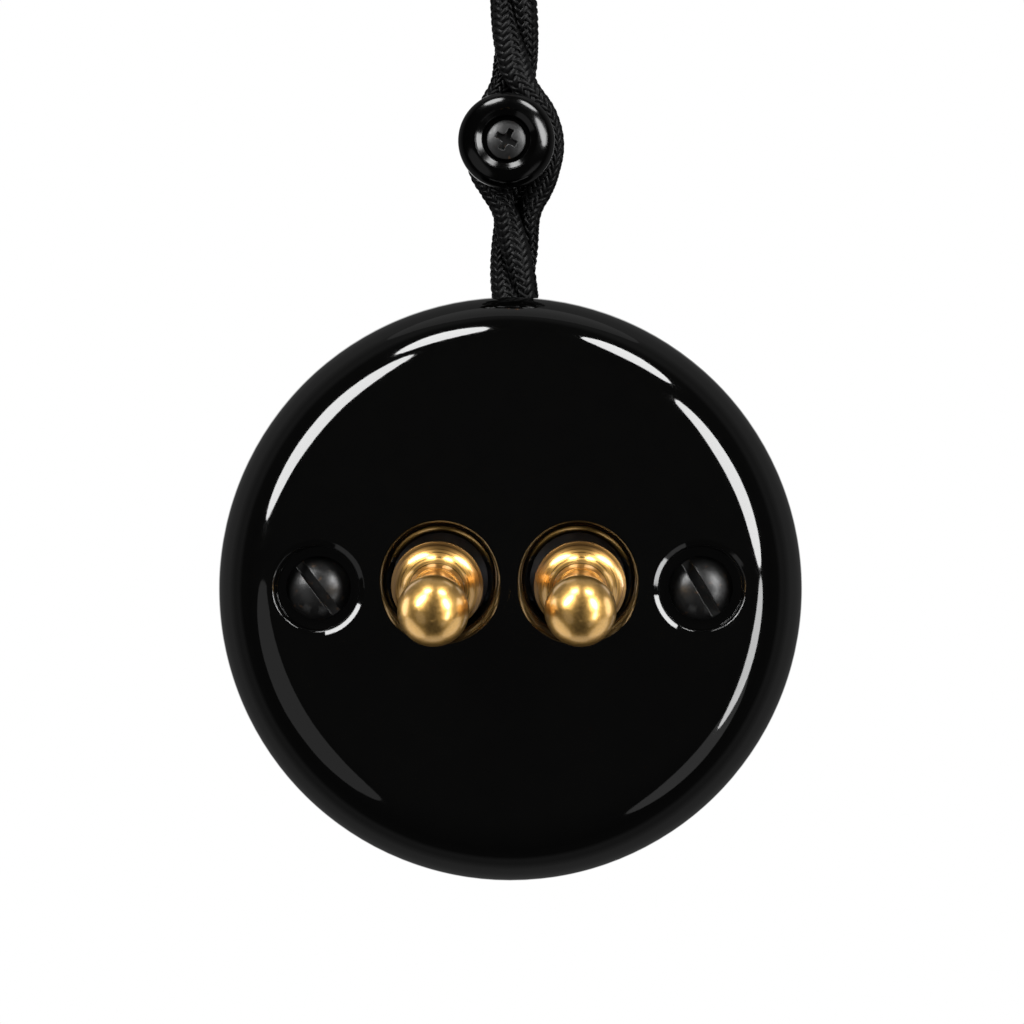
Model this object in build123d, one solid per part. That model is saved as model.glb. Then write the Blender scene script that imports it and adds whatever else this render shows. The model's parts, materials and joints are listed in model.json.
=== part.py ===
from build123d import *
from math import cos, hypot, pi, radians, sin, sqrt, tan
import os

# Round two-lever roller shutter switch in glazed porcelain, with its three-core cable and wall insulator.
# Millimetres. Pieces are drawn with the wall as the XY plane: x to the right, y up, z out of the wall.
# The last section turns them upright, so that the wall is the plane y = 0 and the switch faces -Y.

# Housing
cover_diameter = 100.0
cover_depth = 40.0  # wall to the middle of the front
cover_wall = 5.0
cover_draft = 0.8  # how far the side leans in on its way to the front
crown_drop = 1.2  # how far the front falls from its middle to its edge
shoulder_radius = 12.5
rim_round = 0.8
base_inset = 1.5  # the base stands this far inside the cover's rim
base_height = 8.0  # seat of the cover's rim
floor_height = 6.0  # base floor inside
spigot_height = 4.0
spigot_wall = 2.6
spigot_gap = 0.4
base_round = 1.5

# Mouths of the cover's holes: rounded at the levers, bevelled at the screws
lever_hole_round = 2.65
recess_bevel = 1.1
recess_bevel_drop = 0.5
recess_bevel_round = 0.45
land_share = 0.48  # most of the land between two holes that one mouth may take

# Cover screws, their recesses, posts and bushes
screw_pitch = 64.0
screw_head_radius = 5.35
screw_head_height = 3.6
screw_head_edge = 0.9
screw_radius = 2.0
screw_length = 20.0
screw_slot_width = 1.65
screw_slot_depth = 2.45
screw_slot_turns = (37.0, 30.0)  # left and right, from upright
recess_radius = 7.0
recess_depth = 5.5
recess_floor = 4.5
boss_wall = 2.6
post_wall = 2.6
post_gap = 0.3  # between a post and the cover's boss above it
bush_radius = 4.0
bush_length = 14.0

# Levers, measured along their own axis from the pivot
lever_pitch = 23.6
lever_rise = 1.3  # pivots above the middle of the base
lever_tilt = 15.0  # each way from straight out
pivot_depth = 2.5  # pivot behind the middle of the front
lever_hole_pitch = 22.9
lever_hole_radius = 7.95
ball_radius = 5.8
ball_place = 19.0
neck_radius = 4.2
neck_waist = 3.7
neck_place = 8.2
neck_groove = 0.25
neck_groove_width = 0.5
skirt_radius = 7.6
skirt_place = 3.3
skirt_edge = 0.6
skirt_hollow = 1.2
hub_radius = 3.4
shank_radius = 3.0
shank_end = 13.0
bore_radius = 1.8
bore_top = 4.5
pin_radius = 1.0
pin_head = 0.4  # riveted end beyond the ear

# Plungers and their springs
plunger_tip = 18.0
plunger_top = 9.0
plunger_gap = 0.4  # from the rocker, with the lever straight out
spring_wire = 0.25
spring_radius = 1.3
spring_turns = 5

# Mounting plate
plate_drop = 9.0  # back of the plate behind the pivots
plate_thickness = 1.5
plate_margin = 3.2
plate_length = 32.0
plate_corner = 4.0
ear_thickness = 1.2
ear_radius = 2.2
pillar_pitch = 22.0
pillar_radius = 4.6
pillar_draft = 0.4
pillar_bush_radius = 3.0
pillar_bush_length = 10.0
plate_screw_head = 3.5
plate_screw_head_height = 2.4
plate_screw_length = 9.0
plate_screw_turn = 90.0

# Contact block and brass strips
block_width = 47.0
block_below = 18.0  # from the pivots down to its lower edge
block_above = 24.8  # from the pivots up to its upper edge
block_corner = 3.0
barrier_thickness = 1.6
barrier_height = 8.0
barrier_length = 11.0
barrier_place = 10.3
block_screw_pitch = 30.0
block_screw_drop = 13.5
block_screw_radius = 1.5
block_screw_head = 3.0
block_screw_head_height = 2.0
block_screw_skin = 3.5  # what the screw's end leaves of the block in front of it
strip_thickness = 1.2
strip_width = 5.0
clamp_size = 7.0
clamp_height = 8.0
clamp_rise = 20.8  # clamps above the pivots
clamp_place = 20.5  # outer clamps from the middle
wire_hole_radius = 1.3
clamp_screw_radius = 1.5
clamp_screw_head = 2.6
clamp_screw_head_height = 2.0
clamp_screw_turn = 20.0

# Rockers and contacts
rocker_width = 6.0
rocker_thickness = 1.2
rocker_arm = 10.5
rocker_vee = 12.0  # each arm's slope
rocker_tilt = 5.0  # each way
trunnion_radius = 0.9
trunnion_drop = 0.6  # trunnion axis behind the back of the vee
cradle_thickness = 1.2
cradle_wall = 0.9
contact_radius = 1.8
contact_height = 1.4
contact_place = 9.0
contact_gap = 0.4
fixed_contact_height = 1.7

# Wall holes of the base
wall_hole_pitch_x = 60.0
wall_hole_pitch_y = 36.0
wall_hole_radius = 2.3

# Cable of three cores
core_radius = 2.0
cable_radius = 4.4  # circle round the three cores
cable_x = 0.5
cable_height = 11.0
channel_gap = 0.4
core_gap = 0.45  # between a clamp and the core's covering
conductor_radius = 0.9
inner_end_length = 6.0
outer_end_length = 8.0
bend_share = 0.45  # how much of the shorter run a bend takes up

# Wall insulator
insulator_x = -0.8
insulator_y = 77.5
insulator_radius = 8.4
insulator_height = 21.0
insulator_roll = 2.4  # radius of the head's rolled edge
insulator_face_lean = (14.0, 30.0)  # slope of the head's face at its recess and at its rolled edge
insulator_foot_radius = 6.4
insulator_foot = 4.0
insulator_foot_round = 1.2
insulator_edge = 0.6
insulator_neck = 3.4
insulator_neck_flare = 1.2
insulator_mouth_radius = 5.2
insulator_mouth_edge = 0.15
insulator_bevel_drop = 0.5
insulator_recess_radius = 4.2
insulator_recess_depth = 3.2
insulator_bore = 2.3
insulator_screw_radius = 2.0
insulator_screw_head = 3.4
insulator_screw_rim = 1.6
insulator_screw_dome = 0.7
insulator_screw_turn = 27.0
insulator_screw_thread = 1.6  # mean radius of the thread, behind the wall plane
insulator_screw_behind = 24.0  # length behind the wall plane
insulator_screw_point = 5.0
cross_width = 1.0
cross_length = 3.9
cross_depth = 1.6
cross_round = 0.5

# Clearances
running_gap = 0.05  # pivots, plungers and trunnions
fit_gap = 0.05  # bushes and screws in their holes
hole_gap = 0.2  # screws and pillars in their clearance holes
side_gap = 0.6  # beside a moving piece
overcut = 1.0  # how far a cutter runs past the face it leaves

# Heights and places that follow from the sizes above
STANDING = (Align.CENTER, Align.CENTER, Align.MIN)
HANGING = (Align.CENTER, Align.CENTER, Align.MAX)
cover_radius = cover_diameter / 2
crown_radius = (cover_radius**2 + crown_drop**2) / (2 * crown_drop)
lever_x = lever_pitch / 2
hole_x = lever_hole_pitch / 2
screw_x = screw_pitch / 2
pivot_height = cover_depth - pivot_depth
plate_height = pivot_height - plate_drop
spigot_radius = cover_radius - cover_wall - spigot_gap
pocket_radius = spigot_radius - spigot_wall
channel_radius = cable_radius + channel_gap
clamp_y = lever_rise + clamp_rise
core_start_y = clamp_y + clamp_size / 2 + core_gap
contact_y = lever_rise - contact_place
plunger_radius = bore_radius - running_gap
plunger_ball = plunger_tip - plunger_radius
vee_height = pivot_height - plunger_ball - (plunger_radius + plunger_gap) / cos(radians(rocker_vee))
trunnion_height = vee_height - rocker_thickness - trunnion_drop
closed_slope = radians(rocker_vee - rocker_tilt)  # lower arm with its contact pressed back
arm_back = vee_height + contact_place * tan(closed_slope) - rocker_thickness / cos(closed_slope)
contact_top = arm_back - contact_height - contact_radius * sin(closed_slope) - contact_gap
strip_top = contact_top - fixed_contact_height
block_top = strip_top - strip_thickness
block_height = block_top - floor_height
clamp_top = block_top + clamp_height
wire_height = (strip_top + clamp_top) / 2
block_screw_tip = block_top - block_screw_skin
ear_inside = hub_radius + side_gap
pin_length = 2 * (ear_inside + ear_thickness + pin_head)
cradle_inside = rocker_width / 2 + side_gap
screw_land = hypot(screw_x - hole_x, lever_rise) - lever_hole_radius - recess_radius
lever_land = lever_hole_pitch - 2 * lever_hole_radius
lever_mouth = min(lever_hole_round, land_share * screw_land, land_share * lever_land)


def front_height(x, y):
    """Height of the cover's crowned front at a place."""
    return cover_depth - crown_radius + sqrt(crown_radius**2 - x**2 - y**2)


recess_bottom = front_height(screw_x, 0) - recess_depth
boss_bottom = recess_bottom - recess_floor
post_top = boss_bottom - post_gap
screw_tip = recess_bottom - screw_length


def turned(outline):
    """A solid of revolution about Z from the edges of a half section in the XZ plane."""
    return revolve(make_face(Plane.XZ * outline), Axis.Z)


def rod(radius, low, high):
    """A round bar along Z."""
    return Pos(0, 0, low) * Cylinder(radius, high - low, align=STANDING)


def cross_rod(radius, length):
    """A round bar along X, centred."""
    return Rot(0, 90, 0) * Cylinder(radius, length)


def slotted(head_width, slot_width, slot_depth, top, turn):
    """The cutter of a screw's slot, whose floor lies slot_depth behind the top."""
    slot = Box(slot_width, head_width + 2 * overcut, slot_depth + overcut, align=STANDING)
    return Pos(0, 0, top - slot_depth) * Rot(0, 0, turn) * slot


def cap(radius, depth, foot, corner):
    """A crowned cap with a leaning side and a rounded shoulder, from its foot to its front, seam down."""
    shoulder = (radius - cover_draft, depth - crown_drop)
    middle = (shoulder[0] / 2, depth - crown_drop / 4)
    side = Polyline((shoulder[0], shoulder[1]), (radius, foot), (0, foot), (0, depth))
    face = make_face(side + ThreePointArc((0, depth), middle, shoulder))
    face = fillet(face.vertices().sort_by_distance(shoulder)[0], corner)
    return Rot(0, 0, -90) * revolve(Plane.XZ * face, Axis.Z)


def mouth_edges(solid, x, y, radius):
    """The edges round a hole's mouth in the front of the cover."""

    def on_mouth(edge):
        spots = [edge @ (quarter / 4) for quarter in range(4)]
        in_front = all(spot.Z > cover_depth - cover_wall / 2 for spot in spots)
        return in_front and all(abs(hypot(spot.X - x, spot.Y - y) - radius) < fit_gap for spot in spots)

    return solid.edges().filter_by(on_mouth)


def bevelled(cover, x):
    """The cover with the mouth of one screw recess bevelled, and the bevel's edges softened."""
    walls = cover.faces().filter_by(GeomType.CYLINDER)
    walls = walls.filter_by(lambda face: abs(face.radius - recess_radius) < fit_gap)
    rim = mouth_edges(cover, x, 0, recess_radius)
    wall = walls.sort_by_distance((x, 0))[0]
    cover = cover.solid().chamfer(recess_bevel_drop, recess_bevel, rim, face=wall)
    soft = mouth_edges(cover, x, 0, recess_radius)
    soft += mouth_edges(cover, x, 0, recess_radius + recess_bevel)
    return fillet(soft, recess_bevel_round)


def make_cover():
    shell = cap(cover_radius, cover_depth, base_height, shoulder_radius)
    rim = shell.edges().filter_by(GeomType.CIRCLE).group_by(Axis.Z)[0]
    shell = fillet(rim, rim_round)
    inner_corner = max(shoulder_radius - cover_wall, cover_wall / 2)
    hollow = cap(cover_radius - cover_wall, cover_depth - cover_wall, base_height - overcut, inner_corner)
    for side in (-1, 1):
        boss = rod(recess_radius + boss_wall, boss_bottom, cover_depth)
        hollow -= Pos(side * screw_x, 0) * boss
    cover = shell - hollow
    for side in (-1, 1):
        cover -= Pos(side * hole_x, lever_rise) * rod(lever_hole_radius, boss_bottom, cover_depth + overcut)
        cover -= Pos(side * screw_x, 0) * rod(recess_radius, recess_bottom, cover_depth + overcut)
        cover = fillet(mouth_edges(cover, side * hole_x, lever_rise, lever_hole_radius), lever_mouth)
        cover = bevelled(cover, side * screw_x)
        cover -= Pos(side * screw_x, 0) * rod(screw_radius + hole_gap, base_height, cover_depth)
    return cover - cable_channel(base_height - overcut)


def cable_channel(mouth):
    """The cutter of the cable's way in at the top: round at the bottom or top, open towards its mouth."""
    length = cover_radius - pocket_radius + channel_radius
    bore = Rot(-90, 0, 0) * Cylinder(channel_radius, length, align=STANDING)
    low, high = sorted((mouth, cable_height))
    open_side = Box(2 * channel_radius, length, high - low, align=(Align.CENTER, Align.MIN, Align.MIN))
    start = Pos(cable_x, pocket_radius - channel_radius / 2)
    return start * (Pos(0, 0, cable_height) * bore + Pos(0, 0, low) * open_side)


def make_base():
    base = rod(cover_radius - base_inset, 0, base_height)
    base = fillet(base.edges().filter_by(GeomType.CIRCLE).group_by(Axis.Z)[0], base_round)
    base -= rod(pocket_radius, floor_height, base_height + overcut)
    spigot = rod(spigot_radius, base_height, base_height + spigot_height)
    base += spigot - rod(spigot_radius - spigot_wall, 0, base_height + spigot_height + overcut)
    post_radius = bush_radius + post_wall
    for side in (-1, 1):
        base += Pos(side * screw_x, 0) * rod(post_radius, floor_height, post_top)
        bush_hole = rod(bush_radius + fit_gap, post_top - bush_length, post_top + overcut)
        base -= Pos(side * screw_x, 0) * bush_hole
        base -= Pos(side * screw_x, 0) * rod(screw_radius + hole_gap, screw_tip - overcut, post_top)
        pillar_height = plate_height - floor_height
        pillar = Cone(pillar_radius + pillar_draft, pillar_radius, pillar_height, align=STANDING)
        pillar -= rod(pillar_bush_radius + fit_gap, pillar_height - pillar_bush_length, plate_height)
        base += Pos(0, lever_rise + side * pillar_pitch / 2, floor_height) * pillar
        screw = Pos(side * block_screw_pitch / 2, lever_rise - block_screw_drop)
        base -= screw * rod(block_screw_radius + hole_gap, -overcut, floor_height + overcut)
        base -= screw * rod(block_screw_head + hole_gap, -overcut, block_screw_head_height + hole_gap)
    for spot in GridLocations(wall_hole_pitch_x, wall_hole_pitch_y, 2, 2):
        base -= spot * rod(wall_hole_radius, -overcut, base_height + overcut)
    return base - cable_channel(base_height + spigot_height + overcut)


def dome(radius, low, high):
    """A low dome's edge, from its rim on the right to its top on the axis."""
    rise = high - low
    ball = (radius**2 + rise**2) / (2 * rise)
    middle = (radius / 2, high - ball + sqrt(ball**2 - radius**2 / 4))
    return ThreePointArc((radius, low), middle, (0, high))


def make_cover_screw(turn):
    edge = (screw_head_radius, screw_head_edge)
    rim = Polyline((0, screw_head_height), (0, 0), (screw_head_radius, 0), edge)
    head = turned(rim + dome(screw_head_radius, screw_head_edge, screw_head_height))
    head -= slotted(2 * screw_head_radius, screw_slot_width, screw_slot_depth, screw_head_height, turn)
    return Pos(0, 0, recess_bottom) * (head + rod(screw_radius, -screw_length, 0))


def make_bush(radius, length, bore):
    """A threaded brass bush whose mouth is at z = 0."""
    return rod(radius, -length, 0) - rod(bore, -length - overcut, overcut)


def make_lever():
    """A turned ball lever along Z with its pivot at the origin: shank, hub, skirt, neck and ball."""
    waist_meets_ball = ball_place - sqrt(ball_radius**2 - neck_waist**2)
    flare_low = (skirt_radius, skirt_place + skirt_edge)
    flare_high = (neck_radius, neck_place)
    groove_radius = neck_radius - neck_groove
    groove_end = (groove_radius, neck_place + neck_groove_width)
    lower = Polyline(
        (0, -shank_end),
        (shank_radius, -shank_end),
        (shank_radius, -hub_radius),
        (hub_radius, -hub_radius),
        (hub_radius, skirt_place + skirt_hollow),
        (skirt_radius - skirt_edge, skirt_place),
        (skirt_radius, skirt_place),
        flare_low,
    )
    flare = TangentArc(flare_high, flare_low, tangent=(0, -1))
    groove = Polyline(flare_high, (groove_radius, neck_place), groove_end)
    neck = Line(groove_end, (neck_waist, waist_meets_ball))
    ball = ThreePointArc(
        (neck_waist, waist_meets_ball), (ball_radius, ball_place), (0, ball_place + ball_radius)
    )
    axis = Line((0, ball_place + ball_radius), (0, -shank_end))
    lever = turned(lower + flare + groove + neck + ball + axis)
    lever -= rod(bore_radius, -shank_end - overcut, -bore_top)
    return lever - cross_rod(pin_radius + running_gap, 2 * hub_radius + overcut)


def make_plunger():
    shaft = rod(plunger_radius, -plunger_ball, -plunger_top)
    return shaft + Pos(0, 0, -plunger_ball) * Sphere(plunger_radius)


def make_spring():
    """A coil between the plunger's top and the end of the lever's bore."""
    length = plunger_top - bore_top - 2 * (spring_wire + fit_gap)
    coil = Helix(length / spring_turns, length, spring_radius)
    path = Pos(0, 0, -plunger_top + spring_wire + fit_gap) * coil
    section = Plane(path @ 0, z_dir=path % 0) * Circle(spring_wire)
    return sweep(section, path=path)


def make_plate():
    half_width = lever_x + ear_inside + ear_thickness + plate_margin
    plate = extrude(RectangleRounded(2 * half_width, plate_length, plate_corner), plate_thickness)
    plate = Pos(0, lever_rise, plate_height) * plate
    swing = plate_drop * tan(radians(lever_tilt)) + shank_radius / cos(radians(lever_tilt)) + side_gap
    slot = extrude(SlotOverall(2 * swing, 2 * (shank_radius + side_gap), rotation=90), plate_thickness)
    rise = plate_drop - plate_thickness
    outline = Circle(ear_radius) + Pos(0, -rise / 2) * Rectangle(2 * ear_radius, rise)
    outline -= Circle(pin_radius + fit_gap / 2)
    ear = extrude(Plane.YZ * outline, ear_thickness)
    for side in (-1, 1):
        plate -= Pos(side * lever_x, lever_rise, plate_height) * slot
        for place in (ear_inside, -ear_inside - ear_thickness):
            plate += Pos(side * lever_x + place, lever_rise, pivot_height) * ear
        hole = rod(screw_radius + hole_gap, plate_height - overcut, pivot_height)
        plate -= Pos(0, lever_rise + side * pillar_pitch / 2) * hole
    return plate


def make_plate_screw():
    """A cheese-head screw that seats at z = 0."""
    head = rod(plate_screw_head, 0, plate_screw_head_height)
    slot_depth = plate_screw_head_height / 2
    head -= slotted(
        2 * plate_screw_head, screw_slot_width, slot_depth, plate_screw_head_height, plate_screw_turn
    )
    return head + rod(screw_radius, -plate_screw_length, 0)


def make_block():
    height = block_above + block_below
    block = extrude(RectangleRounded(block_width, height, block_corner), block_height)
    block = Pos(0, lever_rise + (block_above - block_below) / 2, floor_height) * block
    for side in (-1, 1):
        pillar_hole = rod(pillar_radius + pillar_draft + hole_gap, floor_height - overcut, pivot_height)
        block -= Pos(0, lever_rise + side * pillar_pitch / 2) * pillar_hole
        screw_hole = rod(block_screw_radius + fit_gap, floor_height - overcut, block_screw_tip + overcut)
        block -= Pos(side * block_screw_pitch / 2, lever_rise - block_screw_drop) * screw_hole
        barrier = Box(
            barrier_thickness, barrier_length, barrier_height, align=(Align.CENTER, Align.MAX, Align.MIN)
        )
        block += Pos(side * barrier_place, lever_rise + block_above, block_top) * barrier
    return block


def make_block_screw():
    """A screw from the back of the base, with its slotted head just inside the wall plane."""
    head = rod(block_screw_head, 0, block_screw_head_height)
    slot_depth = block_screw_head_height / 2
    slot_length = 2 * block_screw_head + overcut
    slot = Box(screw_slot_width, slot_length, overcut + slot_depth, align=STANDING)
    head = Pos(0, 0, hole_gap) * (head - Pos(0, 0, -overcut) * slot)
    return head + rod(block_screw_radius, hole_gap + block_screw_head_height, block_screw_tip)


def clamp(x):
    """A terminal block on a strip, with a hole for the wire along Y and a screw hole from the front."""
    body = Pos(x, clamp_y, block_top) * Box(clamp_size, clamp_size, clamp_height, align=STANDING)
    wire = Pos(x, clamp_y, wire_height) * Rot(90, 0, 0) * Cylinder(wire_hole_radius, clamp_size + overcut)
    return body - wire - Pos(x, clamp_y) * rod(clamp_screw_radius + fit_gap, wire_height, clamp_top + overcut)


def make_clamp_screw():
    """A terminal screw that seats on the clamp and reaches down to the wire."""
    head = rod(clamp_screw_head, 0, clamp_screw_head_height)
    slot_depth = clamp_screw_head_height / 2
    head -= slotted(
        2 * clamp_screw_head, screw_slot_width / 2, slot_depth, clamp_screw_head_height, clamp_screw_turn
    )
    reach = clamp_top - wire_height - conductor_radius - fit_gap
    return Pos(0, 0, clamp_top) * (head + rod(clamp_screw_radius, -reach, 0))


def flat_bar(low_x, high_x, low_y, high_y):
    """A flat stretch of brass strip on the contact block."""
    bar = Box(high_x - low_x, high_y - low_y, strip_thickness, align=(Align.MIN, Align.MIN, Align.MIN))
    return Pos(low_x, low_y, block_top) * bar


def make_common_bar():
    """The feed strip: a crossbar with four cradle ears, an eye round the upper pillar and the feed clamp."""
    half_width = strip_width / 2
    reach = lever_x + cradle_inside + cradle_thickness
    bar = flat_bar(-reach, reach, lever_rise - half_width, lever_rise + half_width)
    bar += flat_bar(-half_width, half_width, lever_rise, clamp_y)
    eye_hole = pillar_radius + pillar_draft + side_gap
    eye = Pos(0, lever_rise + pillar_pitch / 2)
    bar += eye * rod(eye_hole + strip_width / 2, block_top, strip_top)
    bar -= eye * rod(eye_hole, block_top - overcut, strip_top + overcut)
    bar += clamp(0)
    rise = trunnion_height - strip_top
    outline = Circle(trunnion_radius + cradle_wall)
    outline += Pos(0, -rise / 2) * Rectangle(2 * (trunnion_radius + cradle_wall), rise)
    outline -= Circle(trunnion_radius + running_gap)
    ear = extrude(Plane.YZ * outline, cradle_thickness)
    for side in (-1, 1):
        for place in (cradle_inside, -cradle_inside - cradle_thickness):
            bar += Pos(side * lever_x + place, lever_rise, trunnion_height) * ear
    return bar


def make_out_terminal(side):
    """An outgoing strip: a pad under the rocker's lower arm, a run up the side and a clamp at its top."""
    half_width = strip_width / 2
    edges = sorted((side * (lever_x - contact_radius), side * (clamp_place + half_width)))
    strip = flat_bar(*edges, contact_y - half_width, contact_y + half_width)
    strip += flat_bar(
        side * clamp_place - half_width, side * clamp_place + half_width, contact_y - half_width, clamp_y
    )
    return strip + clamp(side * clamp_place)


def make_rocker():
    """A see-saw contact arm, level, with the point of its vee on the Z axis at its true height."""
    run = rocker_arm * cos(radians(rocker_vee))
    rise = rocker_arm * sin(radians(rocker_vee))
    top = [(-run, rise), (0, 0), (run, rise)]
    back = [(y, z - rocker_thickness) for y, z in reversed(top)]
    strip = extrude(Plane.YZ * make_face(Polyline(*top, *back, close=True)), rocker_width / 2, both=True)
    lug = cross_rod(trunnion_radius + cradle_wall, rocker_width)
    lug -= Pos(0, 0, trunnion_drop + rocker_thickness / 2) * Box(
        rocker_width, 2 * rocker_arm, rocker_thickness, align=STANDING
    )
    trunnion = cross_rod(trunnion_radius, rocker_width + 2 * (side_gap + cradle_thickness))
    return Pos(0, 0, vee_height) * strip + Pos(0, 0, trunnion_height) * (lug + trunnion)


def make_moving_contact():
    """A contact rivet square under the rocker's lower arm."""
    along = contact_place / cos(radians(rocker_vee))
    rivet = Pos(0, -along, -rocker_thickness * cos(radians(rocker_vee))) * Cylinder(
        contact_radius, contact_height, align=HANGING
    )
    return Pos(0, 0, vee_height) * Rot(-rocker_vee, 0, 0) * rivet


def make_fixed_contact():
    """A contact rivet that the moving one meets when the lower arm is pressed back."""
    return rod(contact_radius, strip_top, contact_top)


def make_insulator():
    """A turned porcelain knob: foot, neck groove and rounded head with a bevelled screw recess."""
    inner_lean, outer_lean = (radians(lean) for lean in insulator_face_lean)
    roll_place = insulator_radius - insulator_roll
    face_edge = roll_place + insulator_roll * sin(outer_lean)
    mouth = insulator_mouth_radius + insulator_mouth_edge
    face_radius = (face_edge - mouth) / (sin(outer_lean) - sin(inner_lean))
    face_drop = face_radius * (cos(inner_lean) - cos(outer_lean))
    middle_lean = (inner_lean + outer_lean) / 2
    roll_height = insulator_height - face_drop - insulator_roll * cos(outer_lean)
    face_middle = (
        mouth + face_radius * (sin(middle_lean) - sin(inner_lean)),
        insulator_height - face_radius * (cos(inner_lean) - cos(middle_lean)),
    )
    face_end = (face_edge, insulator_height - face_drop)
    flare = insulator_neck + insulator_neck_flare
    under = (roll_place, roll_height - insulator_roll)
    neck_top = (flare, under[1])
    groove_low = (flare, insulator_foot + insulator_edge)
    foot_side = (insulator_foot_radius, insulator_foot - insulator_foot_round)
    foot_top = (insulator_foot_radius - insulator_foot_round, insulator_foot)
    mouth_height = insulator_height - insulator_mouth_edge
    recess_low = insulator_height - insulator_recess_depth
    section = Polyline(
        (insulator_bore, recess_low),
        (insulator_bore, 0),
        (insulator_foot_radius - insulator_edge, 0),
        (insulator_foot_radius, insulator_edge),
        foot_side,
    )
    section += TangentArc(foot_side, foot_top, tangent=(0, 1))
    section += Line(foot_top, groove_low)
    section += ThreePointArc(groove_low, (insulator_neck, (groove_low[1] + neck_top[1]) / 2), neck_top)
    section += Line(neck_top, under)
    section += ThreePointArc(under, (insulator_radius, roll_height), face_end)
    section += ThreePointArc(face_end, face_middle, (mouth, insulator_height))
    section += Polyline(
        (mouth, insulator_height),
        (insulator_mouth_radius, mouth_height),
        (insulator_recess_radius, mouth_height - insulator_bevel_drop),
        (insulator_recess_radius, recess_low),
        (insulator_bore, recess_low),
    )
    return Pos(insulator_x, insulator_y) * turned(section)


def make_insulator_screw():
    """A cross-recess wood screw that runs through the knob and on behind the wall plane."""
    seat = insulator_height - insulator_recess_depth
    rim = seat + insulator_screw_rim
    top = rim + insulator_screw_dome
    side = Polyline(
        (0, top),
        (0, -insulator_screw_behind),
        (insulator_screw_thread, -insulator_screw_behind + insulator_screw_point),
        (insulator_screw_thread, 0),
        (insulator_screw_radius, 0),
        (insulator_screw_radius, seat),
        (insulator_screw_head, seat),
        (insulator_screw_head, rim),
    )
    screw = turned(side + dome(insulator_screw_head, rim, top))
    cross = Rectangle(cross_width, cross_length) + Rectangle(cross_length, cross_width)
    cross = fillet(cross.vertices().group_by(lambda corner: hypot(corner.X, corner.Y))[0], cross_round)
    cross = Pos(0, 0, top - cross_depth) * Rot(0, 0, -insulator_screw_turn) * cross
    return Pos(insulator_x, insulator_y) * (screw - extrude(cross, cross_depth + overcut))


def core_routes():
    """Each core's points from its clamp to its free end: fanned, bundled, and bowed round the knob."""
    return {
        "core_left": [
            (-clamp_place, core_start_y, wire_height),
            (-clamp_place, 29.8, wire_height),
            (-16.8, 34.0, 16.5),
            (-8.0, 36.4, 12.0),
            (-1.9, 40.0, 11.0),
            (-1.9, 68.0, 11.0),
            (-6.4, 74.0, 10.3),
            (-6.4, 81.0, 10.3),
            (-1.9, 87.0, 11.0),
            (-1.9, 106.0, 11.0),
        ],
        "core_front": [
            (0.0, core_start_y, wire_height),
            (0.0, 29.8, wire_height),
            (0.6, 36.6, 16.4),
            (1.7, 43.5, 13.1),
            (1.7, 66.0, 13.1),
            (7.2, 73.5, 12.3),
            (7.2, 81.5, 12.3),
            (1.7, 89.0, 13.1),
            (1.7, 106.0, 13.1),
        ],
        "core_back": [
            (clamp_place, core_start_y, wire_height),
            (clamp_place, 29.8, wire_height),
            (16.8, 34.0, 15.5),
            (8.0, 36.4, 9.6),
            (1.7, 40.0, 8.9),
            (1.7, 68.0, 8.9),
            (5.1, 74.0, 8.2),
            (5.1, 81.0, 8.2),
            (1.7, 87.0, 8.9),
            (1.7, 106.0, 8.9),
        ],
    }


def corner_radii(points):
    """The largest arc that the two runs at each corner of a route allow."""
    radii = []
    for before, here, after in zip(points, points[1:], points[2:]):
        run_in = Vector(*here) - Vector(*before)
        run_out = Vector(*after) - Vector(*here)
        half_turn = radians(run_in.get_angle(run_out)) / 2
        radii.append(bend_share * min(run_in.length, run_out.length) / tan(half_turn))
    return radii


def make_core(name, points):
    radii = corner_radii(points)
    path = FilletPolyline(*points, radius=radii)
    core = sweep(Plane(path @ 0, z_dir=path % 0) * Circle(core_radius), path=path)
    share = core.volume / (pi * core_radius**2 * path.length)
    print(name, "radii", [round(radius, 1) for radius in radii])
    print(name, "length", round(path.length, 1), "volume share", round(share, 4))
    return core


def make_inner_ends():
    """The bare copper ends in the clamps."""
    ends = []
    for x in (-clamp_place, 0, clamp_place):
        end = Rot(90, 0, 0) * Cylinder(conductor_radius, inner_end_length, align=STANDING)
        ends.append(Pos(x, core_start_y, wire_height) * end)
    return Compound(children=[part.solid() for part in ends])


def make_outer_ends():
    """The bare copper ends at the free end of the cable."""
    ends = []
    for points in core_routes().values():
        end = Rot(-90, 0, 0) * Cylinder(conductor_radius, outer_end_length, align=STANDING)
        ends.append(Pos(*points[-1]) * end)
    return Compound(children=[part.solid() for part in ends])


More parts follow.
